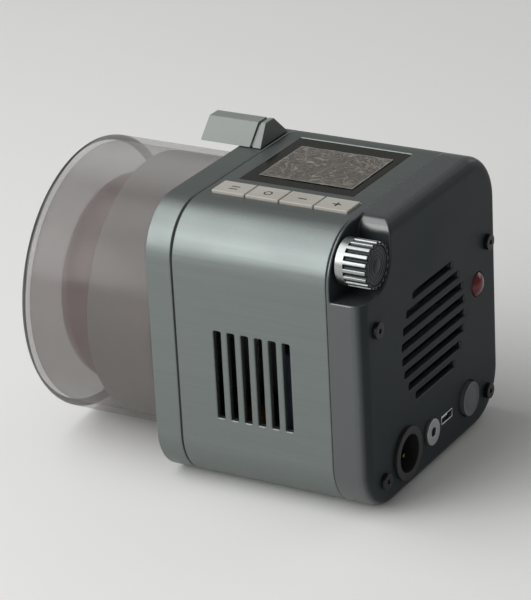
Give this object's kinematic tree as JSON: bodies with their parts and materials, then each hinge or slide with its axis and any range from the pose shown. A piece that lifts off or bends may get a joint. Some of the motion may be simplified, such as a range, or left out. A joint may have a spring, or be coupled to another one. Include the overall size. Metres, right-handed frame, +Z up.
{
  "type": "monolight strobe",
  "caption": "Compact studio strobe head: satin metal body with top display, keys, corner dial and rear vents, flash tube under a glass dome, and a translucent cap on its front collar.",
  "frame": {"origin": "mouth of the threaded stand socket, in the middle of the flat underside", "axes": "X along the optical axis with the light's front at -X and the rear panel at +X, Z up, dial on the -Y side"},
  "size_m": [0.1463, 0.107, 0.1148],
  "materials": {
    "satin_metal": "satin anodised, fine brush along the body",
    "collar_metal": "satin turned",
    "cover_plastic": "fine moulded grain",
    "gasket_rubber": "matt",
    "cap_plastic": "translucent, lightly frosted",
    "latch_plastic": "smooth moulded",
    "window_plastic": "polished",
    "panel_film": "dull film over the panel",
    "key_plastic": "soft satin",
    "dial_metal": "machined, fluted",
    "inlay_black": "satin",
    "fitting_black": "moulded",
    "button_plastic": "satin",
    "sensor_plastic": "polished dark red",
    "fan_plastic": "moulded",
    "steel": "plated",
    "dark_screws": "black oxide",
    "brass": "turned",
    "reflector_metal": "bright spun",
    "sink_metal": "sawn and anodised",
    "ceramic": "unglazed ceramic",
    "tube_glass": "clear quartz",
    "dome_glass": "tinted glass",
    "led_phosphor": "phosphor",
    "lens_plastic": "clear lens",
    "board": "solder mask",
    "capacitor_sleeve": "shrink sleeve",
    "winding": "lacquered copper",
    "white_plastic": "moulded",
    "encoder_metal": "plated"
  },
  "bodies": {
    "housing": {"backlight_frame": "white_plastic", "base_plate": "steel", "base_screws": "dark_screws", "board_standoffs": "steel", "body_sleeve": "satin_metal", "capacitors": "capacitor_sleeve", "charging_transformer": "winding", "collar_screws": "steel", "control_board": "board", "data_port": "steel", "display_panel": "panel_film", "display_window": "window_plastic", "dome_clips": "steel", "encoder_board": "board", "encoder_body": "encoder_metal", "fan_frame": "fan_plastic", "flash_tube": "tube_glass", "front_ring": "satin_metal", "glass_dome": "dome_glass", "heat_sink": "sink_metal", "inlet_contacts": "brass", "key_switches": "fitting_black", "led_lens": "lens_plastic", "modelling_led": "led_phosphor", "mount_collar": "collar_metal", "panel_studs": "steel", "power_board": "board", "power_inlet": "fitting_black", "power_switch": "fitting_black", "rear_cover": "cover_plastic", "rear_screws": "dark_screws", "reflector_pan": "reflector_metal", "ring_gasket": "gasket_rubber", "slave_sensor": "sensor_plastic", "stand_bush": "brass", "sync_jack": "steel", "tie_rods": "steel", "trigger_coil": "winding", "trigger_wire": "steel", "tube_socket": "ceramic"},
    "cap": {"protective_cap": "cap_plastic"},
    "latch": {"latch_slider": "latch_plastic", "latch_pin": "steel"},
    "dial_plunger": {"encoder_plunger": "white_plastic"},
    "dial": {"dial_shaft": "steel", "dial_knob": "dial_metal", "dial_inlay": "inlay_black"},
    "key_one": {"key_1": "key_plastic"},
    "key_two": {"key_2": "key_plastic"},
    "key_three": {"key_3": "key_plastic"},
    "key_four": {"key_4": "key_plastic"},
    "power_push": {"power_button": "button_plastic"},
    "fan": {"fan_rotor": "fan_plastic"}
  },
  "joints": [
    {"name": "cap_pull", "type": "slide", "parent": "housing", "child": "cap", "axis": [-1, 0, 0], "range_m": [0, 0.065]},
    {"name": "latch_slide", "type": "slide", "parent": "housing", "child": "latch", "axis": [1, 0, 0], "range_m": [0, 0.0035], "stiffness_N_per_m": 500, "springref_m": -0.002},
    {"name": "dial_press", "type": "slide", "parent": "housing", "child": "dial_plunger", "axis": [-1, 0, 0], "range_m": [0, 0.0006], "stiffness_N_per_m": 3000, "springref_m": -0.0004},
    {"name": "dial_spin", "type": "hinge", "parent": "dial_plunger", "child": "dial", "pos_m": [0.038, -0.043, 0.0955], "axis": [1, 0, 0], "continuous": true},
    {"name": "key_one_press", "type": "slide", "parent": "housing", "child": "key_one", "axis": [0, 0, -1], "range_m": [0, 0.0006], "stiffness_N_per_m": 1500, "springref_m": -0.0004},
    {"name": "key_two_press", "type": "slide", "parent": "housing", "child": "key_two", "axis": [0, 0, -1], "range_m": [0, 0.0006], "stiffness_N_per_m": 1500, "springref_m": -0.0004},
    {"name": "key_three_press", "type": "slide", "parent": "housing", "child": "key_three", "axis": [0, 0, -1], "range_m": [0, 0.0006], "stiffness_N_per_m": 1500, "springref_m": -0.0004},
    {"name": "key_four_press", "type": "slide", "parent": "housing", "child": "key_four", "axis": [0, 0, -1], "range_m": [0, 0.0006], "stiffness_N_per_m": 1500, "springref_m": -0.0004},
    {"name": "power_press", "type": "slide", "parent": "housing", "child": "power_push", "axis": [-1, 0, 0], "range_m": [0, 0.0012], "stiffness_N_per_m": 1500, "springref_m": -0.0006},
    {"name": "fan_spin", "type": "hinge", "parent": "housing", "child": "fan", "pos_m": [-0.008, 0, 0.0535], "axis": [1, 0, 0], "continuous": true}
  ]
}
